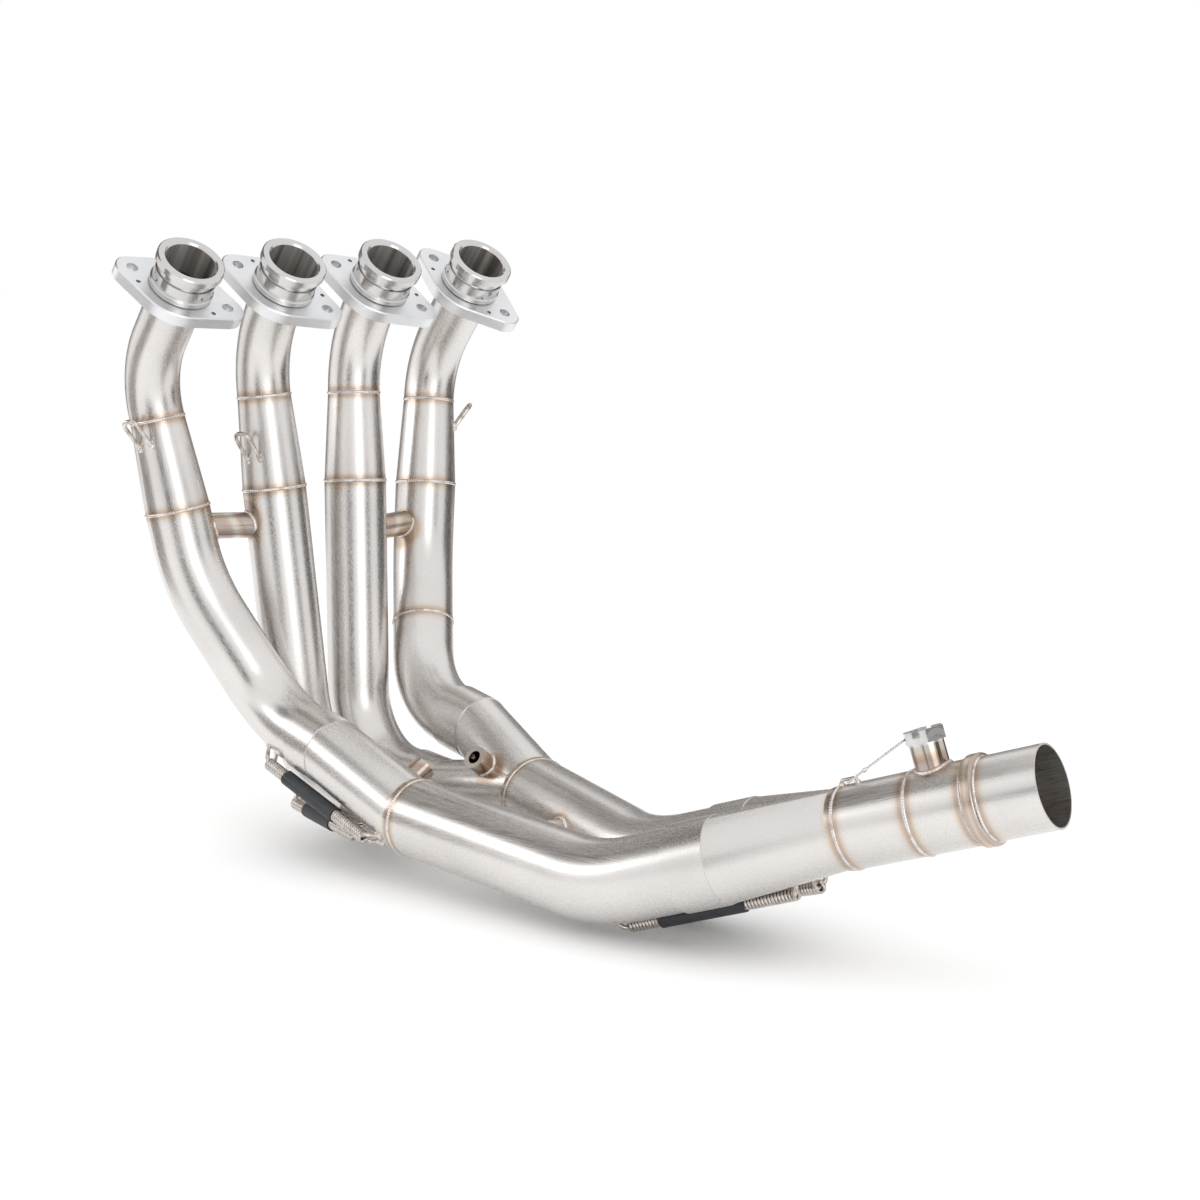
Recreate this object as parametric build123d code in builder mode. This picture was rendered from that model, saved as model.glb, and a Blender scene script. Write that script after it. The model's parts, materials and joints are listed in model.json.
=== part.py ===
from build123d import *
import os
from math import cos, radians, sin

# Exhaust header of an in-line four: four primary tubes, two collectors, two links, one tail.
# Millimetres. +X points to the rear of the machine, +Y along the row of ports, +Z up.
# The origin is the middle of the port row, on the plane of the four sealing rims.

os.makedirs("parts", exist_ok=True)

# Port row
port_pitch = 87.0
port_tilt = 42.0
ports = 4

# Tube sizes
upper_od = 41.0
lower_od = 49.0
link_od = 56.0
tail_od = 54.0
outlet_od = 53.0
cross_od = 20.0
tube_wall = 1.2
slip_gap = 0.2
socket_wall = 1.2
socket_depth = 30.0
slip_length = 26.0

# Port spigot, from the rim down
spigot_height = 26.5
spigot_bore = 37.4
mouth_chamfer = 1.4
rim_od = 50.6
rim_height = 5.5
neck_od = 44.0
band_od = 46.0
band_top = 12.5
groove_width = 1.2
groove_depth = 0.9
lip_od = 48.0
lip_height = 5.0
edge_break = 0.8

# Port flange
flange_gap = 0.3
flange_thickness = 9.5
flange_body_r = 32.5
flange_ear_r = 12.5
stud_spacing = 74.0
stud_hole = 8.6
pin_hole = 3.4
pin_along = 29.0
pin_across = 13.0
flange_hole_gap = 0.8
flange_edge = 0.9
flange_turns = [-37.0, -42.0, -43.0, -62.0]

# Routes of the outer primaries, one and four, with the row's middle as the mirror
outer_drop = 110.0
outer_bend_r = 73.0
outer_knee = (-53.5, 106.5, -243.5)
outer_knee_r = 150.0
outer_heel_r = 80.0

# Routes of the inner primaries, two and three
inner_drop = 84.0
inner_bend_r = 96.0
inner_heel_r = 70.0

# Welds down each leg, above and below the cone, and the third weld of primary four
upper_welds = [38.0, 41.5, 43.0, 34.0]
lower_welds = [108.0, 113.0, 112.0, 102.5]
knee_weld = 58.0

# Lower collectors
mouth_mid = (47.0, 49.0, -379.0)
mouth_spacing = 60.0
mouth_lean = (0.08, 0.6, 0.795)
collector_axis = (0.991, 0.044, -0.127)
collector_length = 120.0
toe_in = 0.052
outer_heel_back = 47.0
inner_heel_back = 74.0
shoulder_step = 0.6
branch_spread = 1.0
branch_inset = 0.2
outlet_lip = 5.0

# Links and final collector
ring_point = (492.0, 52.0, -353.0)
tail_axis = (0.894, 0.3215, 0.3115)
final_length = 110.0
final_spacing = 60.0
final_socket_depth = 30.0
link_heel_back = 61.0
link_heel_r = 110.0

# Tail, along its axis from the ring
sleeve_length = 50.0
boss_sleeve_length = 38.0
step_band_length = 9.0
step_band_od = 58.0
step_band_round = 2.0
tail_length = 137.0

# Cross tubes: stations down the outer and inner legs of each half, and along the links
cross_wall = 1.2
cope_gap = 0.1
left_cross = (121.0, 142.0)
right_cross = (132.0, 153.0)
link_cross = 80.0

# Bosses and plug
sensor_boss_od = 18.0
sensor_boss_bore = 10.4
sensor_boss_reach = 38.0
sensor_boss_station = 81.0
boss_root = 20.0
main_boss_od = 22.0
main_boss_bore = 14.5
main_boss_height = 14.5
main_boss_station = 65.0
main_boss_root = 24.0
plug_across_flats = 24.0
plug_head_height = 8.0
plug_recess_od = 15.0
plug_recess_depth = 4.0
plug_slot_width = 5.0
plug_shank_length = 12.0
plug_thread_gap = 0.2
washer_thickness = 1.2

# Lock wire from the plug's corner to its staple on the tail
wire_r = 0.9
wire_hole_height = 4.0
staple_station = 7.0
staple_span = 11.0
staple_height = 3.2
staple_wire_r = 1.1
staple_bend_r = 1.3
wire_seat_gap = 0.1
wire_hole_gap = 0.3
wire_tail = 4.5
wire_end = 4.0
wire_bend_r = 2.5

# Springs, their rubber sleeves and the bent-wire hooks that hold them
spring_wire_r = 1.2
spring_coil_r = 3.6
spring_eye_r = 3.0
eye_bend_r = 2.7
spring_neck = 10.0
start_turns = 5
end_turns = 10
sleeve_wall = 0.7
sleeve_gap = 0.2
hook_wire_r = 1.6
hook_span = 12.0
hook_fillet = 5.5
hook_sink = 0.6
spring_clear = 7.5
tube_hook_lean = 8.0
collector_hook_lean = 16.0
final_hook_lean = 4.0
outer_hook_back = 18.0
outer_hook_front = 100.0
inner_hook_back = 28.0
inner_hook_front = 76.0
link_hook_back = 54.0
final_hook_front = 66.0
spare_hook_out = 13.0
spare_hook_rise = 22.0
spare_hook_side = (0.4, 0.92, 0.0)
outer_spare_hook = 57.0
inner_spare_hook = 90.0
spring_sides = {
    1: (-0.12, -0.68, -0.72),
    2: (-0.11, -0.90, -0.42),
    3: (-0.11, 0.90, -0.42),
    4: (-0.12, 0.68, -0.72),
    "front_link": (0.11, 0.46, -0.88),
    "rear_link": (0.24, 0.26, -0.93),
}

tilt = radians(port_tilt)
port_normal = Vector(sin(tilt), 0, cos(tilt))
row = Vector(0, 1, 0)
forward = port_normal.cross(row)


def unit(v):
    return Vector(*v).normalized()


def side(v, sign):
    """The same point or direction on the left (-1) or right (+1) half."""
    v = Vector(*v)
    return Vector(v.X, sign * v.Y, v.Z)


def port_point(number):
    return Vector(0, (number - (ports + 1) / 2) * port_pitch, 0)


def port_plane(number, below, x_dir):
    """Plane square to a port's axis, its z axis out of the port, below mm under the rim."""
    return Plane(origin=port_point(number) - port_normal * below, x_dir=x_dir, z_dir=port_normal)


def across(origin, direction):
    return Plane(origin=origin, z_dir=direction)


def tube(points, radii, outer_r, inner_r=0):
    """Tube along straight runs joined by tangent arcs, and the line it follows. No inner_r fills it."""
    with BuildPart() as made:
        with BuildLine() as route:
            FilletPolyline(*points, radius=radii)
        with BuildSketch(across(points[0], points[1] - points[0])):
            Circle(outer_r)
            if inner_r:
                Circle(inner_r, mode=Mode.SUBTRACT)
        sweep(path=route.line)
    return made, Wire(route.edges())


def keep(made, name):
    made.part.label = name
    export_step(made.part, f"parts/{name}.step")


# Directions and corner points of the routes
half = {1: -1, 2: -1, 3: 1, 4: 1}
outer = (1, 4)


def heel_direction(number):
    """Run into the socket: the collector's axis, toed in towards its partner."""
    sign = half[number]
    lean = toe_in if number in outer else -toe_in
    return (side(collector_axis, sign) - side(mouth_lean, sign) * lean).normalized()


def mouth_point(number):
    sign = half[number]
    offset = mouth_spacing / 2 if number in outer else -mouth_spacing / 2
    return side(mouth_mid, sign) + side(mouth_lean, sign) * offset


def heel_point(number):
    back = outer_heel_back if number in outer else inner_heel_back
    return mouth_point(number) - heel_direction(number) * back


def top_corner(number):
    drop = outer_drop if number in outer else inner_drop
    return port_point(number) - port_normal * drop


def leg_direction(number):
    """Run below the upper bend."""
    if number in outer:
        target = side(outer_knee, half[number])
    else:
        target = heel_point(number)
    return (target - top_corner(number)).normalized()


def leg_point(number, along):
    return top_corner(number) + leg_direction(number) * along


def tail_point(along):
    return Vector(*ring_point) + unit(tail_axis) * along


outlet_ring = {
    sign: side(mouth_mid, sign) + side(collector_axis, sign) * collector_length
    for sign in (-1, 1)
}
tail_side = Vector(0, 0, 1).cross(unit(tail_axis)).normalized()


def final_direction(sign):
    return (unit(tail_axis) - tail_side * sign * toe_in).normalized()


def final_mouth(sign):
    return tail_point(-final_length) + tail_side * sign * final_spacing / 2


def link_heel(sign):
    return final_mouth(sign) - final_direction(sign) * link_heel_back


def link_direction(sign):
    return (link_heel(sign) - outlet_ring[sign]).normalized()


# Port spigots: turned rings with a sealing rim, a banded neck and a lower lip
for number in range(1, ports + 1):
    with BuildPart() as port_spigot:
        with BuildSketch(Plane(origin=port_point(number), x_dir=row, z_dir=-forward)):
            with BuildLine():
                Polyline(
                    (spigot_bore / 2 + mouth_chamfer, 0),
                    (rim_od / 2 - edge_break, 0),
                    (rim_od / 2, -edge_break),
                    (rim_od / 2, -rim_height),
                    (neck_od / 2, -rim_height - (rim_od - neck_od) / 4),
                    (neck_od / 2, -band_top + groove_width),
                    (neck_od / 2 - groove_depth, -band_top + groove_width),
                    (neck_od / 2 - groove_depth, -band_top),
                    (band_od / 2, -band_top),
                    (band_od / 2, -spigot_height + lip_height),
                    (lip_od / 2, -spigot_height + lip_height - edge_break),
                    (lip_od / 2, -spigot_height + edge_break),
                    (lip_od / 2 - edge_break, -spigot_height),
                    (spigot_bore / 2, -spigot_height),
                    (spigot_bore / 2, -mouth_chamfer),
                    close=True,
                )
            make_face()
        revolve(axis=Axis(port_point(number), port_normal))
    keep(port_spigot, f"port_spigot_{number}")

# Port flanges: milled plates with two ears, loose on the tube under the spigot's lip
for number in range(1, ports + 1):
    turn = radians(flange_turns[number - 1])
    seat = port_plane(number, spigot_height + flange_gap, row * cos(turn) + forward * sin(turn))
    pin_side = -pin_across if number in outer else pin_across
    with BuildPart() as port_flange:
        with BuildSketch(seat):
            Circle(flange_body_r)
            with Locations((-stud_spacing / 2, 0), (stud_spacing / 2, 0)):
                Circle(flange_ear_r)
            make_hull()
            Circle(upper_od / 2 + flange_hole_gap, mode=Mode.SUBTRACT)
            with Locations((-stud_spacing / 2, 0), (stud_spacing / 2, 0)):
                Circle(stud_hole / 2, mode=Mode.SUBTRACT)
            with Locations((-pin_along, pin_side), (pin_along, pin_side)):
                Circle(pin_hole / 2, mode=Mode.SUBTRACT)
        extrude(amount=-flange_thickness)
        rim_edges = port_flange.faces().sort_by(Axis(seat.origin, seat.z_dir))[-1].outer_wire().edges()
        chamfer(rim_edges, flange_edge)
    keep(port_flange, f"port_flange_{number}")

# Primary tubes: bend, cone, lower tube, each butted on the one above
upper_r = upper_od / 2
lower_r = lower_od / 2
routes = {}
filled_tubes = {}
cones = {}
cross_runs = {}
for number in range(1, ports + 1):
    is_outer = number in outer
    weld_one = upper_welds[number - 1]
    weld_two = lower_welds[number - 1]
    bend_r = outer_bend_r if is_outer else inner_bend_r
    top = port_point(number) - port_normal * spigot_height
    bend_points = [top, top_corner(number), leg_point(number, weld_one)]
    upper_bend, _ = tube(bend_points, [bend_r], upper_r, upper_r - tube_wall)
    keep(upper_bend, f"upper_bend_{number}")

    with BuildPart() as taper_tube:
        for shrink, mode in ((0, Mode.ADD), (tube_wall, Mode.SUBTRACT)):
            with BuildSketch(across(leg_point(number, weld_one), leg_direction(number))):
                Circle(upper_r - shrink)
            with BuildSketch(across(leg_point(number, weld_two), leg_direction(number))):
                Circle(lower_r - shrink)
            loft(mode=mode)
            cones.setdefault(number, taper_tube.part)
    keep(taper_tube, f"taper_tube_{number}")

    tube_end = mouth_point(number) + heel_direction(number) * slip_length
    start = leg_point(number, weld_two)
    heel = heel_point(number)
    heel_r = outer_heel_r if is_outer else inner_heel_r
    knee = side(outer_knee, half[number])
    if number == ports:
        third_weld = knee + (heel - knee).normalized() * knee_weld
        cross_runs[number] = [start, knee, third_weld], [outer_knee_r]
        middle_tube, _ = tube(*cross_runs[number], lower_r, lower_r - tube_wall)
        keep(middle_tube, f"middle_tube_{number}")
        corners, radii = [third_weld, heel, tube_end], [heel_r]
    elif is_outer:
        corners, radii = [start, knee, heel, tube_end], [outer_knee_r, heel_r]
    else:
        corners, radii = [start, heel, tube_end], [heel_r]
    cross_runs.setdefault(number, (corners, radii))
    lower_tube, routes[number] = tube(corners, radii, lower_r, lower_r - tube_wall)
    filled_tubes[number] = tube(corners, radii, lower_r)[0].part
    keep(lower_tube, f"lower_tube_{number}")


def merge_form(mouths, directions, depth, end, end_direction, tube_r, end_r, wall):
    """Two sockets that run together into one round outlet, filled, wall mm outside the gas path."""
    neck = end - end_direction * outlet_lip
    bore_r = tube_r + slip_gap + wall
    end_bore_r = end_r - tube_wall + wall
    with BuildPart() as made:
        with BuildSketch(across(neck, end_direction)):
            Circle(end_bore_r)
        extrude(amount=outlet_lip)
        for mouth, direction, partner in zip(mouths, directions, reversed(mouths)):
            spread = (mouth - partner).normalized() * branch_spread
            with BuildSketch(across(mouth, direction)):
                Circle(bore_r)
            extrude(amount=depth)
            with BuildSketch(across(mouth + direction * depth, direction)):
                Circle(bore_r - shoulder_step)
            with BuildSketch(across(neck + spread, end_direction)):
                Circle(end_bore_r - branch_spread - branch_inset)
            loft()
    return made


# Lower collectors, each with a sensor boss in the saddle between its branches
envelopes = {}
for label, sign, pair in (("12", -1, (1, 2)), ("34", 1, (4, 3))):
    shape = (
        [mouth_point(number) for number in pair],
        [heel_direction(number) for number in pair],
        socket_depth, outlet_ring[sign], link_direction(sign), lower_r, link_od / 2,
    )
    envelope = merge_form(*shape, socket_wall)
    gas_path = merge_form(*shape, 0)
    boss_axis = side(collector_axis, sign).cross(side(mouth_lean, sign)).normalized() * sign
    boss_base = side(mouth_mid, sign) + side(collector_axis, sign) * sensor_boss_station
    sensor_plane = across(boss_base + boss_axis * boss_root, boss_axis)

    with BuildPart() as collector:
        add(envelope.part)
        add(gas_path.part, mode=Mode.SUBTRACT)
        with BuildSketch(sensor_plane):
            Circle(sensor_boss_bore / 2)
        extrude(amount=sensor_boss_reach, mode=Mode.SUBTRACT)
    envelopes[sign] = envelope.part
    keep(collector, f"collector_{label}")

    with BuildPart() as sensor_boss:
        with BuildSketch(sensor_plane):
            Circle(sensor_boss_od / 2)
            Circle(sensor_boss_bore / 2, mode=Mode.SUBTRACT)
        extrude(amount=sensor_boss_reach - boss_root)
        add(envelope.part, mode=Mode.SUBTRACT)
    keep(sensor_boss, f"sensor_boss_{label}")

# Final collector
final_shape = (
    [final_mouth(sign) for sign in (-1, 1)],
    [final_direction(sign) for sign in (-1, 1)],
    final_socket_depth, tail_point(0), unit(tail_axis), link_od / 2, tail_od / 2,
)
final_envelope = merge_form(*final_shape, socket_wall)
final_gas_path = merge_form(*final_shape, 0)
with BuildPart() as final_collector:
    add(final_envelope.part)
    add(final_gas_path.part, mode=Mode.SUBTRACT)
keep(final_collector, "final_collector")

# Link tubes
link_r = link_od / 2
link_names = {-1: "front_link", 1: "rear_link"}
for label, sign in (("12", -1), ("34", 1)):
    name = link_names[sign]
    link_end = final_mouth(sign) + final_direction(sign) * slip_length
    cross_runs[name] = [outlet_ring[sign], link_heel(sign), link_end], [link_heel_r]
    link_tube, routes[name] = tube(*cross_runs[name], link_r, link_r - tube_wall)
    filled_tubes[name] = tube(*cross_runs[name], link_r)[0].part
    keep(link_tube, f"link_tube_{label}")


def cross_tube(ends, names, run_r):
    """Short tube between two others, its ends coped to their walls."""
    with BuildPart() as made:
        with BuildSketch(across(ends[0], ends[1] - ends[0])):
            Circle(cross_od / 2)
            Circle(cross_od / 2 - cross_wall, mode=Mode.SUBTRACT)
        extrude(amount=(ends[1] - ends[0]).length)
        for name in names:
            carrier, _ = tube(*cross_runs[name], run_r + cope_gap)
            add(carrier.part, mode=Mode.SUBTRACT)
    return made


# Cross tubes between the paired primaries and between the links
for label, pair, stations in (("12", (1, 2), left_cross), ("34", (4, 3), right_cross)):
    ends = [leg_point(number, along) for number, along in zip(pair, stations)]
    balance = cross_tube(ends, pair, lower_r)
    keep(balance, f"cross_tube_{label}")
link_ends = [outlet_ring[sign] + link_direction(sign) * link_cross for sign in (-1, 1)]
link_balance = cross_tube(link_ends, link_names.values(), link_r)
keep(link_balance, "cross_tube_links")

# Tail: plain sleeve, boss sleeve, step band and outlet tube, end to end
tail_run = unit(tail_axis)
tail_up = (Vector(0, 0, 1) - tail_run * tail_run.Z).normalized()
tail_across = tail_up.cross(tail_run)
tail_r = tail_od / 2
tail_bore_r = outlet_od / 2 - tube_wall
boss_foot = tail_point(main_boss_station) + tail_up * main_boss_root
boss_plane = Plane(boss_foot, x_dir=-tail_run, z_dir=tail_up)
station = 0
for name, length, od in (
    ("collector_sleeve", sleeve_length, tail_od),
    ("boss_sleeve", boss_sleeve_length, tail_od),
    ("step_band", step_band_length, step_band_od),
    ("outlet_tube", tail_length - sleeve_length - boss_sleeve_length - step_band_length, outlet_od),
):
    with BuildPart() as tail_ring:
        with BuildSketch(across(tail_point(station), tail_run)):
            Circle(od / 2)
            Circle(tail_bore_r, mode=Mode.SUBTRACT)
        extrude(amount=length)
        if name == "boss_sleeve":
            with BuildSketch(boss_plane):
                Circle(main_boss_bore / 2)
            extrude(amount=main_boss_height, mode=Mode.SUBTRACT)
        if name == "step_band":
            fillet(tail_ring.edges().filter_by(GeomType.CIRCLE).group_by(SortBy.RADIUS)[-1], step_band_round)
    keep(tail_ring, name)
    station += length

# Main boss on the tail, coped to its sleeve
boss_top = boss_plane.offset(tail_r - main_boss_root + main_boss_height)
with BuildPart() as main_boss:
    with BuildSketch(boss_plane):
        Circle(main_boss_od / 2)
        Circle(main_boss_bore / 2, mode=Mode.SUBTRACT)
    extrude(amount=tail_r - main_boss_root + main_boss_height)
    with BuildSketch(across(tail_point(sleeve_length), tail_run)):
        Circle(tail_r)
    extrude(amount=boss_sleeve_length, mode=Mode.SUBTRACT)
keep(main_boss, "main_boss")

with BuildPart() as plug_washer:
    with BuildSketch(boss_top):
        Circle(main_boss_od / 2)
        Circle(main_boss_bore / 2, mode=Mode.SUBTRACT)
    extrude(amount=washer_thickness)
keep(plug_washer, "plug_washer")

# Plug: hexagon head with a slotted recess, a wire hole through one corner and a shank in the boss
plug_seat = boss_top.offset(washer_thickness)
plug_top = plug_seat.offset(plug_head_height)
corner_r = plug_across_flats / 2
wire_hole = plug_seat.origin - tail_run * corner_r + tail_up * wire_hole_height
with BuildPart() as boss_plug:
    with BuildSketch(plug_seat):
        RegularPolygon(corner_r, 6, major_radius=False)
    extrude(amount=plug_head_height)
    with BuildSketch(plug_seat):
        Circle(main_boss_bore / 2 - plug_thread_gap)
    extrude(amount=-plug_shank_length)
    with BuildSketch(plug_top):
        Circle(plug_recess_od / 2)
        Rectangle(plug_slot_width, 2 * plug_across_flats)
    extrude(amount=-plug_recess_depth, mode=Mode.SUBTRACT)
    with BuildSketch(across(wire_hole - tail_across * corner_r, tail_across)):
        Circle(wire_r + wire_hole_gap)
    extrude(amount=2 * corner_r, mode=Mode.SUBTRACT)
keep(boss_plug, "boss_plug")

# Staple on the collector's sleeve and the lock wire from the plug's corner to it
staple_foot = tail_point(staple_station) + tail_up * (tail_r - hook_sink)
staple_bar = tail_point(staple_station) + tail_up * (tail_r + staple_height)
with BuildPart() as wire_staple:
    with BuildLine() as staple_line:
        FilletPolyline(
            staple_foot - tail_run * staple_span / 2,
            staple_bar - tail_run * staple_span / 2,
            staple_bar + tail_run * staple_span / 2,
            staple_foot + tail_run * staple_span / 2,
            radius=staple_bend_r,
        )
    with BuildSketch(across(staple_foot - tail_run * staple_span / 2, tail_up)):
        Circle(staple_wire_r)
    sweep(path=staple_line.line)
    with BuildSketch(across(tail_point(0), tail_run)):
        Circle(tail_r)
    extrude(amount=sleeve_length, mode=Mode.SUBTRACT)
keep(wire_staple, "wire_staple")

wire_under = tail_point(staple_station) + tail_up * (tail_r + wire_r + wire_seat_gap)
wire_points = [
    wire_hole + tail_across * wire_tail,
    wire_hole - tail_across * wire_tail,
    wire_under - tail_across * wire_tail + tail_up * wire_seat_gap,
    wire_under + tail_across * wire_end,
]
with BuildPart() as lock_wire:
    with BuildLine() as wire_line:
        FilletPolyline(*wire_points, radius=wire_bend_r)
    with BuildSketch(across(wire_points[0], -tail_across)):
        Circle(wire_r)
    sweep(path=wire_line.line)
keep(lock_wire, "lock_wire")


def bent_wire(corners, bend_r):
    with BuildPart() as made:
        with BuildLine() as bar:
            FilletPolyline(*corners, radius=bend_r)
        with BuildSketch(across(corners[0], corners[1] - corners[0])):
            Circle(hook_wire_r)
        sweep(path=bar.line)
    return made.part


def hook_corners(centre, run, out, surface_r, bar):
    """Corners of a bent-wire hook: two feet across a tube of surface_r, joined at the point bar."""
    reach = run.cross(out).normalized() * hook_span / 2
    drop = surface_r - (surface_r**2 - (hook_span / 2) ** 2) ** 0.5
    foot = centre + out * (surface_r - drop - hook_sink)
    return [foot - reach, bar - reach, bar + reach, foot + reach]


def square_to(run, direction):
    direction = Vector(*direction)
    return (direction - run * direction.dot(run)).normalized()


# Each slip joint has a hook on the tube, a hook on the collector, a spring and its rubber sleeve
joints = [
    (number, mouth_point(number), heel_direction(number), half[number], lower_r, socket_depth)
    for number in range(1, ports + 1)
] + [
    (link_names[sign], final_mouth(sign), final_direction(sign), 0, link_r, final_socket_depth)
    for sign in (-1, 1)
]
necks = {sign: outlet_ring[sign] - link_direction(sign) * outlet_lip for sign in (-1, 1)}
necks[0] = tail_point(-outlet_lip)
envelopes[0] = final_envelope.part
turn = 2 * spring_wire_r
tube_hooks, collector_hooks = [], []
for name, mouth, run, sign, tube_r, depth in joints:
    lean = collector_hook_lean if sign else final_hook_lean
    if sign == 0:
        back, front = link_hook_back, final_hook_front
    elif name in outer:
        back, front = outer_hook_back, outer_hook_front
    else:
        back, front = inner_hook_back, inner_hook_front
    socket_r = tube_r + slip_gap + socket_wall
    out = square_to(run, spring_sides[name])

    line = routes[name]
    place = line.length - slip_length - back
    centre = line.position_at(place, position_mode=PositionMode.LENGTH)
    tangent = line.tangent_at(place, position_mode=PositionMode.LENGTH)
    tube_out = square_to(tangent, out)
    eye_one = centre + tube_out * (socket_r + spring_clear)
    foot_place = place - tube_hook_lean
    foot_centre = line.position_at(foot_place, position_mode=PositionMode.LENGTH)
    foot_run = line.tangent_at(foot_place, position_mode=PositionMode.LENGTH)
    foot_out = square_to(foot_run, out)
    with BuildPart() as tube_hook:
        add(bent_wire(hook_corners(foot_centre, foot_run, foot_out, tube_r, eye_one), hook_fillet))
        add(filled_tubes[name], mode=Mode.SUBTRACT)
    tube_hooks.append(tube_hook.part)

    shoulder = mouth + run * depth
    branch = (necks[sign] - shoulder).normalized()
    branch_out = square_to(branch, out)
    branch_r = socket_r - shoulder_step
    centre = shoulder + branch * (front - depth)
    eye_two = centre + branch_out * (socket_r + spring_clear)
    foot_centre = centre + branch * lean
    with BuildPart() as collector_hook:
        add(bent_wire(hook_corners(foot_centre, branch, branch_out, branch_r, eye_two), hook_fillet))
        add(envelopes[sign], mode=Mode.SUBTRACT)
    collector_hooks.append(collector_hook.part)

    along = (eye_two - eye_one).normalized()
    span = (eye_two - eye_one).length
    spring_plane = Plane(origin=eye_one, x_dir=along, z_dir=along.cross(out))
    first, last = spring_neck, span - spring_neck
    sleeve_from, sleeve_to = first + start_turns * turn, last - end_turns * turn
    with BuildPart() as spring:
        with BuildSketch(spring_plane):
            with BuildLine():
                Line((first, 0), (first, spring_coil_r))
                for count, start_x in ((start_turns, first), (end_turns, sleeve_to)):
                    for index in range(count):
                        x = start_x + index * turn
                        crest = (x + spring_wire_r, spring_coil_r + spring_wire_r)
                        ThreePointArc((x, spring_coil_r), crest, (x + turn, spring_coil_r))
                Line((sleeve_from, spring_coil_r), (sleeve_to, spring_coil_r))
                Line((last, spring_coil_r), (last, 0))
                Line((last, 0), (first, 0))
            make_face()
        revolve(axis=Axis(eye_one, along))
        for eye, towards in ((eye_one, along), (eye_two, -along)):
            hook_plane = Plane(origin=eye, x_dir=towards, z_dir=towards.cross(out))
            corners = [
                (spring_neck + spring_wire_r, 0),
                ((spring_neck + spring_eye_r) / 2, spring_eye_r),
                (-spring_eye_r, spring_eye_r),
                (-spring_eye_r, -spring_eye_r),
                (spring_wire_r, -spring_eye_r),
            ]
            with BuildLine(hook_plane) as eye_line:
                FilletPolyline(*corners, radius=[spring_wire_r, eye_bend_r, eye_bend_r])
            with BuildSketch(across(eye_line.line @ 0, eye_line.line % 0)):
                Circle(spring_wire_r)
            sweep(path=eye_line.line)
    label = f"primary_{name}" if sign else name
    keep(spring, f"spring_{label}")

    sleeve_in = spring_coil_r + spring_wire_r + sleeve_gap
    with BuildPart() as spring_sleeve:
        with BuildSketch(across(eye_one + along * sleeve_from, along)):
            Circle(sleeve_in + sleeve_wall)
            Circle(sleeve_in, mode=Mode.SUBTRACT)
        extrude(amount=sleeve_to - sleeve_from)
    keep(spring_sleeve, f"spring_sleeve_{label}")

# Spare hooks on the cones of three primaries, leaning up and out
spare_hooks = []
for number, along_leg in ((1, outer_spare_hook), (2, inner_spare_hook), (4, outer_spare_hook)):
    weld_one = upper_welds[number - 1]
    weld_two = lower_welds[number - 1]
    cone_r = upper_r + (lower_r - upper_r) * (along_leg - weld_one) / (weld_two - weld_one)
    run = leg_direction(number)
    out = square_to(run, side(spare_hook_side, half[number]))
    centre = leg_point(number, along_leg)
    bar = centre + out * (cone_r + spare_hook_out) - run * spare_hook_rise
    with BuildPart() as spare_hook:
        add(bent_wire(hook_corners(centre, run, out, cone_r, bar), hook_fillet))
        add(cones[number], mode=Mode.SUBTRACT)
    spare_hooks.append(spare_hook.part)

for name, group in (
    ("tube_hooks", tube_hooks),
    ("collector_hooks", collector_hooks),
    ("spare_hooks", spare_hooks),
):
    with BuildPart() as hooks:
        add(group)
    keep(hooks, name)
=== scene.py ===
import json
from math import cos, pi, radians, sin

import bmesh
import bpy
import numpy as np
from mathutils import Matrix, Vector, kdtree
from mathutils.bvhtree import BVHTree


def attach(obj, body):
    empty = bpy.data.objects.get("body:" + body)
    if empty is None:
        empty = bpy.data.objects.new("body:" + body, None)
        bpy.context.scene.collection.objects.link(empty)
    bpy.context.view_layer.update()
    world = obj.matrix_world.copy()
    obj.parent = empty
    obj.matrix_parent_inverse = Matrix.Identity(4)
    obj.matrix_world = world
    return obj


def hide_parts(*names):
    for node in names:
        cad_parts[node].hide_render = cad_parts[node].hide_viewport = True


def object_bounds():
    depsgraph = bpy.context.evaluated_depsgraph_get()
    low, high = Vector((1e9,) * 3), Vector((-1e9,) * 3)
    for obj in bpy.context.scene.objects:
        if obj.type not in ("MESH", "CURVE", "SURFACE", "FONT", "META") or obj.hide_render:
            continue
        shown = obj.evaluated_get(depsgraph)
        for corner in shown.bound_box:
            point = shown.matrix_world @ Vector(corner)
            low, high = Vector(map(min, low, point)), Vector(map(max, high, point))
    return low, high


# Looks of the exhaust header. Metres, in the part's own frame.
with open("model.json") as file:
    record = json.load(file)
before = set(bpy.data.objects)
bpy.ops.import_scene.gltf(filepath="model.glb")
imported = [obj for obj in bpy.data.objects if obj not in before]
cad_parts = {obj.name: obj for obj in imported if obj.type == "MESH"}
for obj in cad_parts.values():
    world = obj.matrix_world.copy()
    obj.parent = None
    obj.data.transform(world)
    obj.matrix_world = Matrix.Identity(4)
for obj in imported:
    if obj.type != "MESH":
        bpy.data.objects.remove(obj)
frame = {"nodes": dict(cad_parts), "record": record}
cad_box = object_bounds()
nodes = frame["nodes"]
header = "header"
mm = 0.001
vertical = Vector((0, 0, 1))
white = (1.0, 1.0, 1.0)


# Measures read from the frame

seam_reach = 3.5 * mm
seam_slack = 0.1 * mm
seam_passes = 4
rim_slack = 0.25 * mm
rim_step = 0.4 * mm


def points(node):
    vertices = nodes[node].data.vertices
    flat = np.empty(3 * len(vertices))
    vertices.foreach_get("co", flat)
    return flat.reshape(-1, 3)


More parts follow.
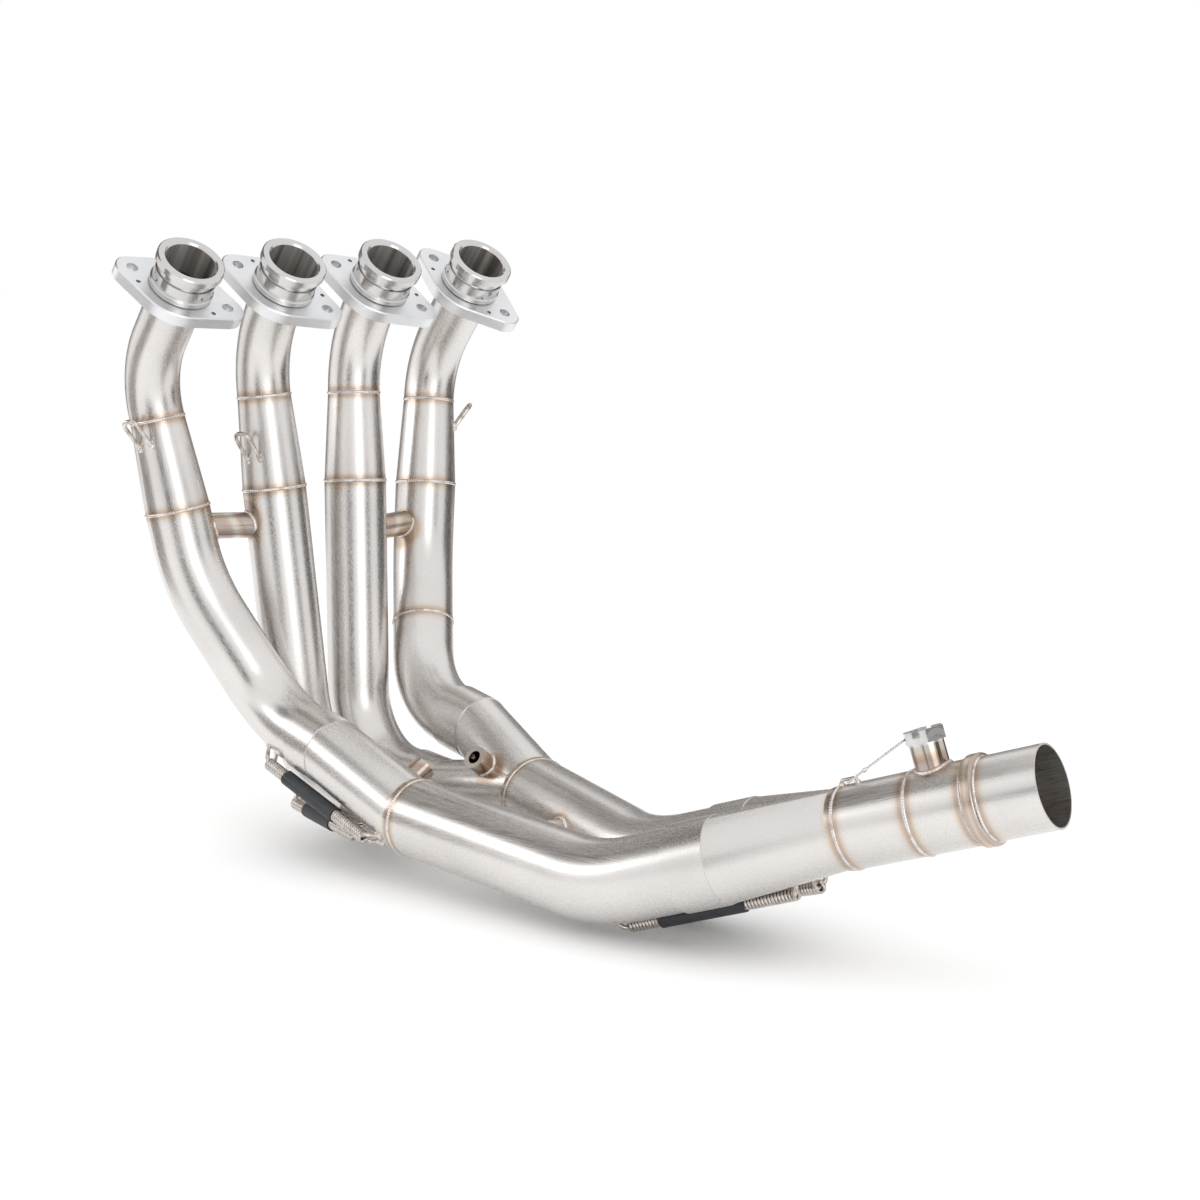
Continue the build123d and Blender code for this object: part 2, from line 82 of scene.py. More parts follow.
def long_axis(cloud):
    """Middle and direction of the longest run through a cloud of points."""
    middle = cloud.mean(axis=0)
    _, _, directions = np.linalg.svd(cloud - middle, full_matrices=False)
    return middle, directions[0]


def round_axis(node):
    """Middle and axis of a short round piece: the direction that its walls face least."""
    faces = nodes[node].data.polygons
    facing = np.empty(3 * len(faces))
    area = np.empty(len(faces))
    faces.foreach_get("normal", facing)
    faces.foreach_get("area", area)
    facing = facing.reshape(-1, 3)
    axis = np.linalg.eigh((facing * area[:, None]).T @ facing)[1][:, 0]
    across = np.array(Vector(axis).orthogonal().normalized())
    basis = np.array([axis, across, np.cross(axis, across)])
    flat = points(node) @ basis.T
    return (flat.max(axis=0) + flat.min(axis=0)) / 2 @ basis, axis


def inside_box(cloud, other):
    """The points of a cloud that lie in or near the box of another cloud."""
    low, high = other.min(axis=0) - seam_reach, other.max(axis=0) + seam_reach
    return cloud[((cloud > low) & (cloud < high)).all(axis=1)]


def seam(upper, lower):
    """Centre, axis and radius of the round seam where one node butts on the next."""
    near = inside_box(points(upper), points(lower))
    far = inside_box(points(lower), near)
    tree = kdtree.KDTree(len(far))
    for index, place in enumerate(far):
        tree.insert(place, index)
    tree.balance()
    rim = np.array([place for place in near if tree.find(place)[2] < seam_reach])
    for _ in range(seam_passes):
        middle = rim.mean(axis=0)
        _, _, directions = np.linalg.svd(rim - middle, full_matrices=False)
        offset = np.abs((rim - middle) @ directions[2])
        rim = rim[offset <= max(seam_slack, np.median(offset) * 2)]
    centre = (rim.max(axis=0) + rim.min(axis=0)) / 2
    centre = centre - directions[2] * ((centre - middle) @ directions[2])
    radius = np.linalg.norm(rim - centre, axis=1).max()
    return Vector(centre), Vector(directions[2]), radius


def rim_loop(node, axis, middle, end):
    """Outer rim of a short round piece at one end of its axis, in order round the axis."""
    places = points(node)
    cloud = places - np.array(middle)
    axis = np.array(axis)
    run = cloud @ axis
    out = cloud - np.outer(run, axis)
    far = np.linalg.norm(out, axis=1)
    chosen = (far > far.max() - rim_slack) & (run * end > 0)
    across = np.array(Vector(axis).orthogonal().normalized())
    turn = np.arctan2(out @ np.cross(axis, across), out @ across)
    loop = []
    for index in np.argsort(turn):
        if not chosen[index]:
            continue
        point = Vector(places[index])
        if not loop or (point - loop[-1]).length > rim_step:
            loop.append(point)
    return loop


# Materials


class Finish:
    """A material and the small set of node calls that the finishes below share."""

    def __init__(self, name):
        self.material = bpy.data.materials.new(name)
        self.material.use_nodes = True
        self.tree = self.material.node_tree
        self.shader = self.tree.nodes["Principled BSDF"]
        self.place = self.tree.nodes.new("ShaderNodeTexCoord").outputs["Object"]

    def put(self, socket, value):
        if isinstance(value, bpy.types.NodeSocket):
            self.tree.links.new(value, socket)
        else:
            socket.default_value = value

    def set(self, **values):
        for name, value in values.items():
            self.put(self.shader.inputs[name.replace("_", " ")], value)

    def math(self, operation, *values):
        made = self.tree.nodes.new("ShaderNodeMath")
        made.operation = operation
        for socket, value in zip(made.inputs, values):
            self.put(socket, value)
        return made.outputs[0]

    def vector(self, operation, *values):
        made = self.tree.nodes.new("ShaderNodeVectorMath")
        made.operation = operation
        for socket, value in zip(made.inputs, values):
            self.put(socket, value)
        return made.outputs["Value" if operation in ("DOT_PRODUCT", "LENGTH", "DISTANCE") else "Vector"]

    def from_axis(self, centre, axis):
        """Run along an axis, and the square of the distance from it."""
        away = self.vector("SUBTRACT", self.place, tuple(centre))
        run = self.vector("DOT_PRODUCT", away, tuple(axis))
        whole = self.vector("DOT_PRODUCT", away, away)
        return run, self.math("SUBTRACT", whole, self.math("MULTIPLY", run, run))

    def fade(self, value, start, end, low=0.0, high=1.0):
        """Smooth step of a value from low at start to high at end."""
        made = self.tree.nodes.new("ShaderNodeMapRange")
        made.interpolation_type = "SMOOTHSTEP"
        inputs = {"Value": value, "From Min": start, "From Max": end, "To Min": low, "To Max": high}
        for name, number in inputs.items():
            self.put(made.inputs[name], number)
        return made.outputs["Result"]

    def noise(self, place, scale, detail=3.0):
        made = self.tree.nodes.new("ShaderNodeTexNoise")
        for name, value in {"Vector": place, "Scale": scale, "Detail": detail}.items():
            self.put(made.inputs[name], value)
        return made.outputs["Fac"]

    def along(self, axis, stretch):
        """Object coordinates turned so that their Z lies along axis, drawn out by stretch along it."""
        made = self.tree.nodes.new("ShaderNodeMapping")
        made.vector_type = "TEXTURE"
        self.put(made.inputs["Vector"], self.place)
        made.inputs["Rotation"].default_value = vertical.rotation_difference(Vector(axis)).to_euler()
        made.inputs["Scale"].default_value = (1, 1, stretch)
        return made.outputs["Vector"]

    def ramp(self, value, stops):
        made = self.tree.nodes.new("ShaderNodeValToRGB")
        elements = made.color_ramp.elements
        while len(elements) < len(stops):
            elements.new(0.5)
        for element, (position, colour) in zip(elements, stops):
            element.position = position
            element.color = (*colour, 1)
        self.put(made.inputs["Fac"], value)
        return made.outputs["Color"]

    def mix(self, amount, first, second, blend="MIX"):
        """Mix of two colours. The mix node's colour sockets are its inputs 6 and 7 and its output 2."""
        made = self.tree.nodes.new("ShaderNodeMix")
        made.data_type = "RGBA"
        made.blend_type = blend
        self.put(made.inputs["Factor"], amount)
        for socket, colour in zip((made.inputs[6], made.inputs[7]), (first, second)):
            self.put(socket, (*colour, 1) if isinstance(colour, tuple) else colour)
        return made.outputs[2]

    def bump(self, height, depth):
        made = self.tree.nodes.new("ShaderNodeBump")
        self.put(made.inputs["Height"], height)
        made.inputs["Distance"].default_value = depth
        self.put(self.shader.inputs["Normal"], made.outputs["Normal"])


# Heat tint from bare steel to the weld's edge
seam_haze = 9 * mm
spot_haze = 8 * mm
heat_tint = [
    (0.0, white),
    (0.35, (0.95, 0.89, 0.82)),
    (0.62, (0.80, 0.67, 0.55)),
    (0.82, (0.66, 0.56, 0.52)),
    (1.0, (0.84, 0.80, 0.76)),
]

# Brush streaks over soft clouds
brush_grain = 1500.0
brush_stretch = 40.0
brush_depth = 0.012 * mm
brush_shade = [(0.3, (0.72, 0.70, 0.68)), (0.7, white)]
cloud_grain = 14.0
cloud_shade = 0.86

# Painted shade in the bore of a spigot, broken into streaks along its axis
bore_shade_grain = 130.0
bore_shade_stretch = 30.0
bore_shade_tones = [(0.34, (0.20, 0.175, 0.16)), (0.66, (0.72, 0.69, 0.66))]
bore_shade_edge = (0.1 * mm, 0.4 * mm)
bore_shade_dulling = 0.2
bore_shade_cover = 0.45

# Tool rings of turned metal
ring_grain = 1300.0
ring_lean = 0.7
ring_depth = 0.02 * mm
ring_share = 0.3
ring_shade = [(0.35, (0.6, 0.6, 0.6)), (0.65, white)]
patch_grain = 130.0


def brushed_steel(name, colour, axis, roughness, seams=(), spots=(), bore=None, streak=0.12):
    """Brushed stainless steel: streaks along axis, a heat haze at its welds and painted shade in its bore.
    """
    steel = Finish(name)
    streaks = steel.noise(steel.along(axis, brush_stretch), brush_grain)
    clouds = steel.noise(steel.place, cloud_grain, 2.0)
    shaded = tuple(channel * cloud_shade for channel in colour)
    tone = steel.ramp(clouds, [(0.25, shaded), (0.75, colour)])
    tone = steel.mix(streak, tone, steel.ramp(streaks, brush_shade), "MULTIPLY")
    dull = steel.fade(streaks, 0.2, 0.8, roughness * 0.8, roughness * 1.25)
    metallic = 1.0
    hazes = []
    for centre, normal, radius in seams:
        away = steel.vector("SUBTRACT", steel.place, tuple(centre))
        side = steel.math("ABSOLUTE", steel.vector("DOT_PRODUCT", away, tuple(normal)))
        beside = steel.fade(side, 0.0, seam_haze, 1.0, 0.0)
        within = steel.fade(steel.vector("LENGTH", away), radius * 1.2, radius * 1.7, 1.0, 0.0)
        hazes.append(steel.math("MULTIPLY", beside, within))
    for heart, reach in spots:
        away = steel.vector("DISTANCE", steel.place, tuple(heart))
        hazes.append(steel.fade(away, reach, reach + spot_haze, 1.0, 0.0))
    if hazes:
        haze = hazes[0]
        for other in hazes[1:]:
            haze = steel.math("MAXIMUM", haze, other)
        haze = steel.math("MULTIPLY", haze, steel.fade(clouds, 0.2, 0.7, 0.55, 1.0))
        tone = steel.mix(1.0, tone, steel.ramp(haze, heat_tint), "MULTIPLY")
    if bore:
        # Painted shade in the bore: darker, duller and less metallic streaks within the bore's radius.
        centre, normal, radius = bore
        square = steel.from_axis(centre, normal)[1]
        start, end = ((radius + edge) ** 2 for edge in bore_shade_edge)
        inside = steel.fade(square, start, end, 1.0, 0.0)
        bore_shade = steel.noise(steel.along(axis, bore_shade_stretch), bore_shade_grain, 2.0)
        tone = steel.mix(inside, tone, steel.ramp(bore_shade, bore_shade_tones))
        dull = steel.math("ADD", dull, steel.math("MULTIPLY", inside, bore_shade_dulling))
        metallic = steel.math("SUBTRACT", 1.0, steel.math("MULTIPLY", inside, bore_shade_cover))
    steel.set(Base_Color=tone, Metallic=metallic, Roughness=dull)
    steel.bump(streaks, brush_depth)
    return steel.material


def turned_metal(name, dark, pale, centre, axis, roughness):
    """Bright turned metal with fine tool rings round its own axis."""
    metal = Finish(name)
    run, square = metal.from_axis(centre, axis)
    cut = metal.math("ADD", metal.math("SQRT", square), metal.math("MULTIPLY", run, ring_lean))
    rings = metal.noise(cut, ring_grain, 2.0)
    tone = metal.ramp(metal.noise(metal.place, patch_grain), [(0.3, dark), (0.7, pale)])
    tone = metal.mix(ring_share, tone, metal.ramp(rings, ring_shade), "MULTIPLY")
    dull = metal.fade(rings, 0.3, 0.7, roughness * 0.75, roughness * 1.3)
    metal.set(Base_Color=tone, Metallic=1.0, Roughness=dull)
    metal.bump(rings, ring_depth)
    return metal.material


def mottled(name, grain, tones, dull, detail=3.0, span=(0.2, 0.8), metallic=1.0):
    """Finish whose tone and roughness follow one fine mottle."""
    finish = Finish(name)
    mottle = finish.noise(finish.place, grain, detail)
    roughness = finish.fade(mottle, *span, *dull)
    finish.set(Base_Color=finish.ramp(mottle, tones), Metallic=metallic, Roughness=roughness)
    return finish


def dress(node, material):
    nodes[node].data.materials.clear()
    nodes[node].data.materials.append(material)


weld_tones = [(0.3, (0.52, 0.43, 0.36)), (0.5, (0.74, 0.70, 0.66)), (0.8, (0.80, 0.79, 0.78))]
weld_metal = mottled("weld_metal", 160.0, weld_tones, (0.34, 0.2), 2.0, (0.3, 0.7)).material

spring_tones = [(0.3, (0.50, 0.44, 0.40)), (0.75, (0.70, 0.67, 0.64))]
spring_steel = mottled("spring_steel", 240.0, spring_tones, (0.18, 0.32)).material

lock_tones = [(0.3, (0.64, 0.63, 0.62)), (0.7, (0.84, 0.835, 0.83))]
bright_wire = mottled("bright_wire", 300.0, lock_tones, (0.24, 0.36)).material

hook_tones = [(0.3, (0.36, 0.29, 0.245)), (0.7, (0.80, 0.77, 0.74))]
drawn_wire = mottled("drawn_wire", 200.0, hook_tones, (0.1, 0.2)).material

sleeve_tones = [(0.3, (0.022, 0.024, 0.029)), (0.75, (0.045, 0.048, 0.056))]
silicone = mottled("silicone", 90.0, sleeve_tones, (0.45, 0.6), detail=4.0, metallic=0.0)
silicone.bump(silicone.noise(silicone.place, 900.0, 2.0), 0.03 * mm)

flange_tones = [(0.3, (0.74, 0.75, 0.765)), (0.75, (0.82, 0.825, 0.835))]
milled = Finish("milled_flange")
mill_marks = milled.noise(milled.along((0, 1, 0), 30.0), 700.0)
milled_tone = milled.ramp(milled.noise(milled.place, 40.0), flange_tones)
milled_dull = milled.fade(mill_marks, 0.2, 0.8, 0.30, 0.42)
milled.set(Base_Color=milled_tone, Metallic=1.0, Roughness=milled_dull)
milled.bump(mill_marks, 0.02 * mm)


# Camera at the photograph's place

camera_place = Vector((1.4303, -0.9267, -0.0015))
camera_right = Vector((0.636, 0.7716, 0.0)).normalized()
camera_forward = Vector((-0.7627, 0.6287, -0.1518)).normalized()
camera_up = camera_right.cross(camera_forward)
camera_data = bpy.data.cameras.new("camera")
camera_data.lens = 66.0
camera_data.sensor_width = 36.0
camera = bpy.data.objects.new("camera", camera_data)
camera.matrix_world = Matrix((camera_right, camera_up, -camera_forward)).transposed().to_4x4()
camera.matrix_world.translation = camera_place
bpy.context.scene.collection.objects.link(camera)
bpy.context.scene.camera = camera
bpy.context.scene.view_settings.view_transform = "Standard"


# Pieces added to the solids: weld beads, weld drops, wound springs and the twisted lock wire


def add_piece(name, mesh, material, body=header):
    piece = bpy.data.objects.new(name, mesh)
    bpy.context.scene.collection.objects.link(piece)
    mesh.materials.clear()
    mesh.materials.append(material)
    for face in mesh.polygons:
        face.use_smooth = True
    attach(piece, body)
    return piece


def finished_mesh(name, shape):
    """Mesh of a bmesh, which is freed."""
    mesh = bpy.data.meshes.new(name)
    shape.to_mesh(mesh)
    shape.free()
    return mesh


def wire_mesh(name, path, radius, closed=False, swell=None):
    """Round wire along a smooth spline through a few points, as a mesh."""
    curve = bpy.data.curves.new(name, "CURVE")
    curve.dimensions = "3D"
    curve.bevel_depth = radius
    curve.bevel_resolution = 3
    curve.use_fill_caps = True
    spline = curve.splines.new("NURBS")
    spline.points.add(len(path) - 1)
    for index, point in enumerate(path):
        spline.points[index].co = (*point, 1)
        if swell:
            spline.points[index].radius = swell[index]
    spline.order_u = 3
    spline.use_endpoint_u = not closed
    spline.use_cyclic_u = closed
    spline.resolution_u = 2 if closed else 6
    holder = bpy.data.objects.new(name, curve)
    mesh = bpy.data.meshes.new_from_object(holder)
    bpy.data.objects.remove(holder)
    bpy.data.curves.remove(curve)
    mesh.name = name
    return mesh


def lay_wire(shape, name, path, radius):
    """Adds a round wire along a path to a bmesh."""
    wire = wire_mesh(name, path, radius)
    shape.from_mesh(wire)
    bpy.data.meshes.remove(wire)


# Rippled weld beads
ripple_pitch = 1.9 * mm
ripple_swell = 0.16
ripples_least = 12
ring_points = 48


def bead(name, loop, radius):
    """Rippled weld bead along a closed loop of points."""
    length = sum((loop[i] - loop[i - 1]).length for i in range(len(loop)))
    count = max(ripples_least, round(length / ripple_pitch)) * 2
    stops = np.linspace(0, len(loop), count, endpoint=False)
    path = [loop[int(t)].lerp(loop[(int(t) + 1) % len(loop)], t - int(t)) for t in stops]
    swell = [1 + ripple_swell * (1 if index % 2 else -1) for index in range(count)]
    add_piece(name, wire_mesh(name, path, radius, True, swell), weld_metal)


def ring_loop(centre, axis, radius):
    start = axis.orthogonal().normalized() * radius
    turns = (2 * pi * k / ring_points for k in range(ring_points))
    return [centre + Matrix.Rotation(turn, 3, axis) @ start for turn in turns]


# Round seams, from the ports to the outlet
seam_bead = 1.5 * mm
seam_sink = 0.8 * mm
chains = []
for port in range(1, 5):
    extra = [f"middle_tube_{port}"] if port == 4 else []
    chains.append([f"upper_bend_{port}", f"taper_tube_{port}", *extra, f"lower_tube_{port}"])
chains += [["collector_12", "link_tube_12"], ["collector_34", "link_tube_34"]]
chains += [["final_collector", "collector_sleeve", "boss_sleeve", "step_band", "outlet_tube"]]
seams = {name: [] for name in nodes}
for chain in chains:
    for upper, lower in zip(chain, chain[1:]):
        # The seam after the step band is read on the outlet tube, the narrower of the two.
        centre, axis, radius = seam(lower, upper) if upper == "step_band" else seam(upper, lower)
        bead(f"weld_{upper}", ring_loop(centre, axis, radius - seam_sink), seam_bead)
        for node in (upper, lower):
            seams[node].append((centre, axis, radius))

# Fillet welds round the cross tubes and the bosses
fillet_bead = 1.6 * mm
saddles = []
for node in ("cross_tube_12", "cross_tube_34", "cross_tube_links"):
    middle, axis = round_axis(node)
    saddles += [(node, axis, middle, -1), (node, axis, middle, 1)]
for node in ("sensor_boss_12", "sensor_boss_34", "main_boss"):
    middle, axis = round_axis(node)
    saddles.append((node, axis * np.sign(axis[2]), middle, -1))
carriers = {
    "cross_tube_12": ("lower_tube_1", "lower_tube_2"),
    "cross_tube_34": ("middle_tube_4", "lower_tube_3"),
    "cross_tube_links": ("link_tube_12", "link_tube_34"),
    "sensor_boss_12": ("collector_12",),
    "sensor_boss_34": ("collector_34",),
    "main_boss": ("boss_sleeve",),
}
spots = {name: [] for name in nodes}
for node, axis, middle, end in saddles:
    loop = rim_loop(node, axis, middle, end)
    bead(f"weld_{node}_{'far' if end > 0 else 'near'}", loop, fillet_bead)
    heart = sum(loop, Vector()) / len(loop)
    reach = max((point - heart).length for point in loop)
    for name in (node, *carriers[node]):
        spots[name].append((heart, reach))

# Small weld drops at the feet of the hooks and the staple
drop_r = 2.3 * mm
foot_reach = 0.8 * mm
foot_spread = 4 * mm
hook_carriers = {
    "tube_hooks": [f"lower_tube_{port}" for port in range(1, 5)] + ["link_tube_12", "link_tube_34"],
    "collector_hooks": ["collector_12", "collector_34", "final_collector"],
    "spare_hooks": [f"taper_tube_{port}" for port in (1, 2, 4)],
    "wire_staple": ["collector_sleeve"],
}


def feet(node):
    """Places where a bent wire stands on the tubes that carry it."""
    found = []
    for tube in hook_carriers[node]:
        mesh = nodes[tube].data
        skin = BVHTree.FromPolygons([v.co for v in mesh.vertices], [p.vertices for p in mesh.polygons])
        for place in points(node):
            nearest = skin.find_nearest(Vector(place), foot_reach)[0]
            if nearest is None:
                continue
            for group in found:
                if (group[0] - nearest).length < foot_spread:
                    group.append(nearest)
                    break
            else:
                found.append([nearest])
    return [sum(group, Vector()) / len(group) for group in found]


for node in hook_carriers:
    drops = bmesh.new()
    for foot in feet(node):
        bmesh.ops.create_icosphere(drops, subdivisions=3, radius=drop_r, matrix=Matrix.Translation(foot))
    add_piece(f"{node}_welds", finished_mesh(f"{node}_welds", drops), weld_metal)

# Wound springs in place of the turned ones
spring_wire = 1.2 * mm
turn_clearance = 0.97
coil_slack = 0.3 * mm
coil_steps = 20
coil_sides = 10
eye_r = 3.0 * mm


def wound_spring(label):
    """Close-wound coil with an eye at each end, on the axis of its sleeve."""
    centre, axis = long_axis(points(f"spring_sleeve_{label}"))
    cloud = points(f"spring_{label}") - centre
    run = cloud @ axis
    out = cloud - np.outer(run, axis)
    far = np.linalg.norm(out, axis=1)
    coil_r = far.max() - spring_wire
    coil = run[far > coil_r - coil_slack]
    first, last = coil.min(), coil.max()
    tip = cloud[run < run.min() + 2 * eye_r]
    tip = tip - tip.mean(axis=0)
    side = np.linalg.svd(tip - np.outer(tip @ axis, axis), full_matrices=False)[2][0]
    neck = out[(run < first - spring_wire) & (run > run.min() + 3 * eye_r)]
    if len(neck) and neck.mean(axis=0) @ side < 0:
        side = -side

    middle, direction, up = Vector(centre), Vector(axis), Vector(side)
    turns = (last - first) / (2 * spring_wire)
    steps = round(turns * coil_steps)
    wire_r = spring_wire * turn_clearance
    spring = bmesh.new()
    start_plane = Matrix((up, direction, up.cross(direction))).transposed().to_4x4()
    start_plane.translation = middle + direction * (first + spring_wire) + up * coil_r
    wire = bmesh.ops.create_circle(spring, segments=coil_sides, radius=wire_r, matrix=start_plane)
    bmesh.ops.spin(
        spring,
        geom=wire["verts"] + spring.edges[:],
        cent=middle,
        axis=direction,
        dvec=direction * ((last - first - 2 * spring_wire) / steps),
        angle=2 * pi * round(turns - 1),
        steps=steps,
    )
    bmesh.ops.remove_doubles(spring, verts=spring.verts, dist=1e-6)
    bmesh.ops.recalc_face_normals(spring, faces=spring.faces)
    for eye_run, towards in ((run.min() + eye_r + spring_wire, 1), (run.max() - eye_r - spring_wire, -1)):
        # Bends of the eye, from the coil's end: run from the eye's middle, height over the axis
        start = (first + spring_wire - eye_run) if towards > 0 else (eye_run - last + spring_wire)
        bends = [
            (start, coil_r),
            (start - 2 * spring_wire, coil_r * 0.95),
            (eye_r, eye_r * 1.05),
            (-eye_r * 0.6, eye_r * 1.05),
            (-eye_r * 1.15, 0),
            (-eye_r * 0.6, -eye_r * 1.05),
            (eye_r * 0.9, -eye_r * 1.0),
            (eye_r * 1.5, -eye_r * 0.4),
        ]
        path = [middle + direction * (eye_run + towards * a) + up * b for a, b in bends]
        lay_wire(spring, f"eye_{label}", path, spring_wire)
    mesh = finished_mesh(f"wound_spring_{label}", spring)
    piece = add_piece(f"wound_spring_{label}", mesh, spring_steel)
    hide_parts(f"spring_{label}")


for name in sorted(nodes):
    if name.startswith("spring_") and not name.startswith("spring_sleeve"):
        wound_spring(name.removeprefix("spring_"))

# Twisted lock wire in place of the single one
strand_r = 0.5 * mm
strand_turn = 4.5 * mm
strand_steps = 8
knot_share = 0.68
knot_r = 1.5 * mm
knot_length = 1.3
tail_run = round_axis("outlet_tube")[1]
tail_run = tail_run * np.sign(tail_run[0])
tail_up = np.array(vertical) - tail_run * tail_run[2]
tail_up = tail_up / np.linalg.norm(tail_up)
tail_basis = np.array([tail_run, np.cross(tail_up, tail_run), tail_up])
wire_cloud = points("lock_wire") @ tail_basis.T
wire_low = wire_cloud.min(axis=0) + 2 * strand_r
wire_high = wire_cloud.max(axis=0) - 2 * strand_r


def wire_corner(run, across, up):
    """A corner of the lock wire, from the shares of its box along, across and above the tail."""
    share = np.array((run, across, up))
    return Vector((wire_low + (wire_high - wire_low) * share) @ tail_basis)


plug_side, staple_side = wire_corner(1, 0, 1), wire_corner(0, 0, 0)
wire_run = (staple_side - plug_side).normalized()
twist_length = (staple_side - plug_side).length
twist_steps = round(twist_length / strand_turn * strand_steps)
strand_arm = wire_run.orthogonal().normalized() * strand_r
strand_ends = [
    (0, [wire_corner(1, 1, 1), wire_corner(1, 0.5, 1)], [wire_corner(0, 0.5, 0), wire_corner(0, 1, 0)]),
    (pi, [wire_corner(1, 0.25, 1)], [wire_corner(0, 0.3, 0)]),
]
lock_wire = bmesh.new()
knot_turn = vertical.rotation_difference(wire_run).to_matrix().to_4x4()
knot_place = Matrix.Translation(plug_side.lerp(staple_side, knot_share)) @ knot_turn
knot_form = knot_place @ Matrix.Diagonal((knot_r, knot_r, knot_length * knot_r, 1))
bmesh.ops.create_icosphere(lock_wire, subdivisions=3, radius=1.0, matrix=knot_form)
for phase, plug_end, staple_end in strand_ends:
    twist = []
    for step in range(1, twist_steps):
        turn = Matrix.Rotation(phase + 2 * pi * step / strand_steps, 3, wire_run)
        twist.append(plug_side + wire_run * (twist_length * step / twist_steps) + turn @ strand_arm)
    lay_wire(lock_wire, "lock_strand", plug_end + twist + staple_end, strand_r)
lock_mesh = finished_mesh("twisted_lock_wire", lock_wire)
twisted_wire = add_piece("twisted_lock_wire", lock_mesh, bright_wire)
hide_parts("lock_wire")


# Finishes of the solids: colour and roughness of each steel

tube_colour, tube_dull = (0.79, 0.765, 0.745), 0.28
boss_colour, boss_dull = (0.62, 0.575, 0.535), 0.14
spigot_colour, spigot_dull, spigot_streak = (0.70, 0.69, 0.68), 0.15, 0.15
plug_dark, plug_pale, plug_dull = (0.66, 0.65, 0.645), (0.82, 0.815, 0.81), 0.3
port_axis = Vector(frame["record"]["mounts"][0]["axis"])


def spigot_bore(node):
    """Middle, axis and radius of the bore through a port spigot."""
    cloud = points(node)
    middle = cloud.mean(axis=0)
    run = (cloud - middle) @ np.array(port_axis)
    far = np.linalg.norm(cloud - middle - np.outer(run, port_axis), axis=1)
    return Vector(middle), port_axis, far.min()


def finish_of(name):
    if name.startswith("spring_sleeve"):
        return silicone.material
    if name.endswith("hooks") or name in ("wire_staple", "lock_wire"):
        return drawn_wire
    if name.startswith("port_flange"):
        return milled.material
    if name in ("boss_plug", "plug_washer"):
        centre, axis = round_axis("main_boss")
        return turned_metal(f"{name}_turned", plug_dark, plug_pale, centre, axis, plug_dull)
    if name in ("main_boss", "sensor_boss_12", "sensor_boss_34"):
        axis = round_axis(name)[1]
        return brushed_steel(f"{name}_steel", boss_colour, axis, boss_dull, spots=spots[name])
    if name.startswith("port_spigot"):
        # The spigot's bore is given painted shade.
        bore = spigot_bore(name)
        turned = f"{name}_turned"
        return brushed_steel(turned, spigot_colour, port_axis, spigot_dull, bore=bore, streak=spigot_streak)
    axis = long_axis(points(name))[1]
    return brushed_steel(f"{name}_steel", tube_colour, axis, tube_dull, seams[name], spots[name])


for name in nodes:
    dress(name, finish_of(name))


# White studio: world, floor, dark cards that only the metal sees, and soft lamps

world = bpy.data.worlds.new("studio")
bpy.context.scene.world = world
world.use_nodes = True
background = world.node_tree.nodes["Background"]
background.inputs["Color"].default_value = (*white, 1)
background.inputs["Strength"].default_value = 1.0


def flat_stage(name, width, height, matrix, paint):
    shape = bmesh.new()
    form = matrix @ Matrix.Diagonal((width, height, 1, 1))
    bmesh.ops.create_grid(shape, x_segments=1, y_segments=1, size=0.5, matrix=form)
    mesh = finished_mesh(name, shape)
    mesh.materials.append(paint)
    made = bpy.data.objects.new(name, mesh)
    bpy.context.scene.collection.objects.link(made)
    return made


# The floor is white to the eye and in the metal, and throws back a softer, warmer light.
floor_drop = 1 * mm
floor_width = 60.0
floor_bounce = (0.66, 0.63, 0.61)
floor_paint = Finish("floor_paint")
light_path = floor_paint.tree.nodes.new("ShaderNodeLightPath").outputs
seen_rays = floor_paint.math("MAXIMUM", light_path["Is Camera Ray"], light_path["Is Glossy Ray"])
seen_rays = floor_paint.math("MAXIMUM", seen_rays, light_path["Is Transmission Ray"])
floor_tone = floor_paint.mix(seen_rays, floor_bounce, white)
floor_paint.set(Base_Color=floor_tone, Roughness=0.8, Specular_IOR_Level=0.0)
floor_place = Matrix.Translation((0, 0, cad_box[0][2] - floor_drop))
flat_stage("floor", floor_width, floor_width, floor_place, floor_paint.material)

view_middle = Vector((0.2, 0.0, -0.22))
view_back = Vector((camera_forward.x, camera_forward.y, 0)).normalized()


def studio(right, back, up):
    """Place in the studio, from the middle of the view."""
    return view_middle + camera_right * right + view_back * back + vertical * up


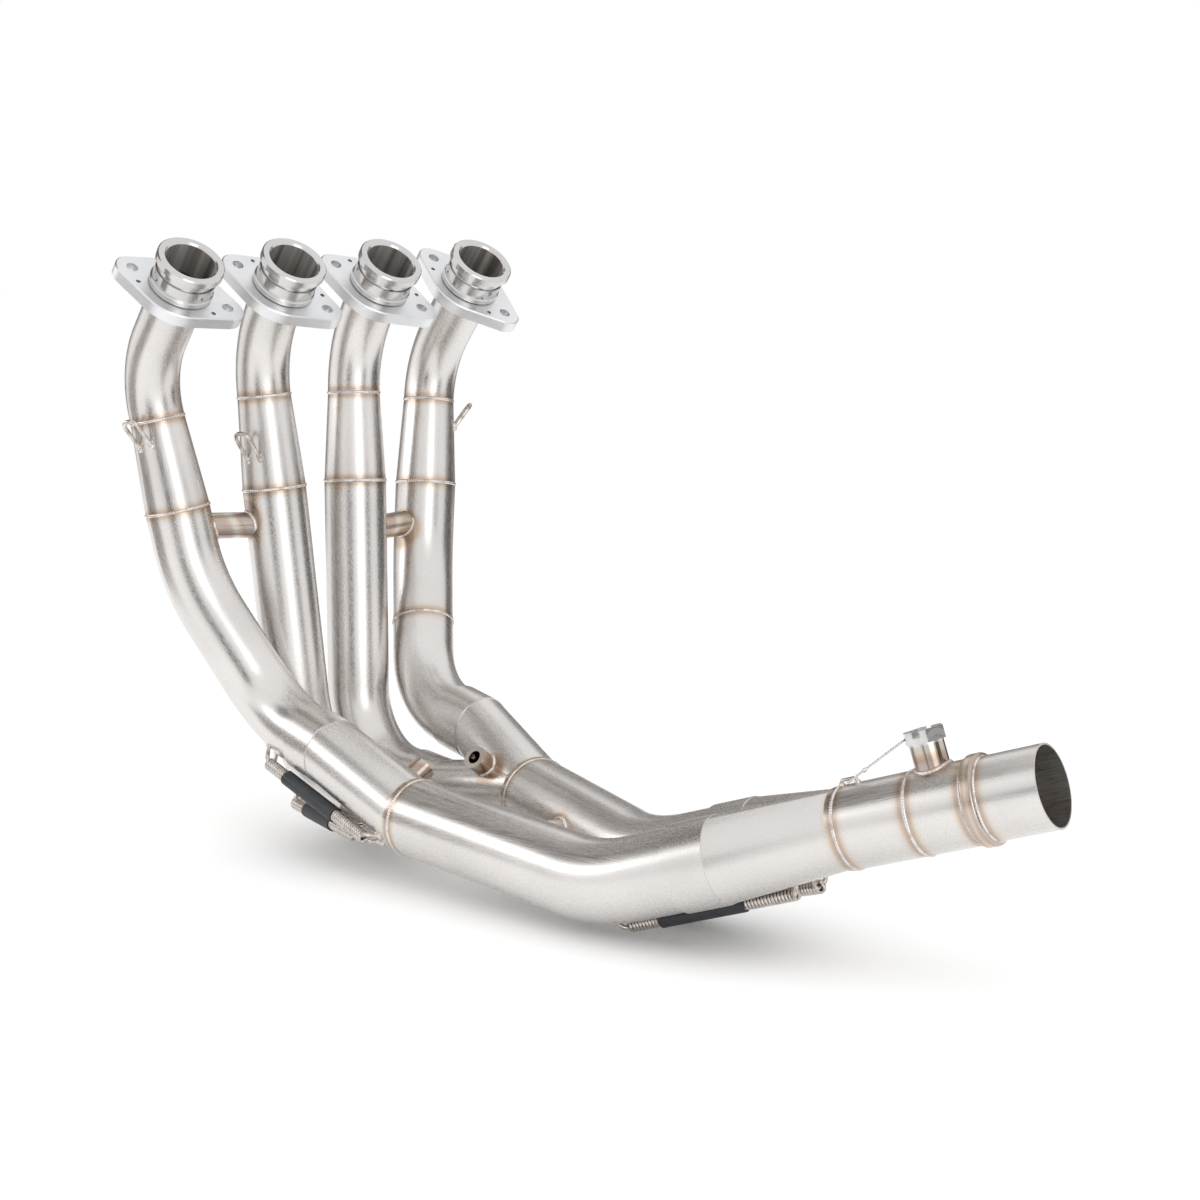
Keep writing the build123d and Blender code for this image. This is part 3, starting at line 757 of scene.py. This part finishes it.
def around(degrees, reach, up):
    """Place round the header, counted from the camera's side, to its right when positive."""
    return studio(reach * sin(radians(degrees)), -reach * cos(radians(degrees)), up)


def card(name, place, width, height, colour):
    """Flat card that faces the header and is seen by its metal alone."""
    paint = Finish(name)
    paint.set(Base_Color=(*colour, 1), Roughness=0.9)
    turn = (view_middle - place).to_track_quat("Z", "Y").to_matrix().to_4x4()
    made = flat_stage(name, width, height, Matrix.Translation(place) @ turn, paint.material)
    made.visible_camera = False
    made.visible_diffuse = False
    made.visible_shadow = False


def softbox(name, place, width, height, power):
    lamp = bpy.data.lights.new(name, "AREA")
    lamp.shape = "RECTANGLE"
    lamp.size = width
    lamp.size_y = height
    lamp.energy = power
    box = bpy.data.objects.new(name, lamp)
    box.rotation_euler = (view_middle - place).to_track_quat("-Z", "Y").to_euler()
    box.location = place
    bpy.context.scene.collection.objects.link(box)
    return box


black = (0.09, 0.08, 0.074)
deep_black = (0.08, 0.072, 0.066)
charcoal = (0.16, 0.15, 0.14)
dark_grey = (0.20, 0.185, 0.175)
grey = (0.30, 0.285, 0.275)
light_grey = (0.34, 0.315, 0.30)
card("front_left_card", around(-25, 1.2, -0.02), width=0.5, height=0.5, colour=black)
card("left_card", around(-97, 0.8, -0.1), width=0.45, height=0.3, colour=light_grey)
card("upper_left_card", around(-115, 1.06, 1.06), width=1.6, height=0.7, colour=dark_grey)
card("back_left_card", around(-145, 1.25, 0.82), width=1.0, height=0.5, colour=deep_black)
card("back_card", around(180, 1.6, 0.25), width=4.0, height=0.9, colour=grey)
card("front_right_card", around(57, 0.9, 0.0), width=0.3, height=0.5, colour=charcoal)
card("right_card", around(125, 0.9, -0.05), width=0.7, height=0.5, colour=black)

overhead_box = softbox("overhead_box", studio(-0.3, 0.1, 1.8), width=2.2, height=1.2, power=5)
overhead_box.visible_glossy = False
softbox("strip_box", around(24, 1.86, 0.3), width=0.8, height=1.6, power=5)
softbox("left_box", around(-90, 1.4, 0.5), width=1.2, height=0.42, power=2.4)
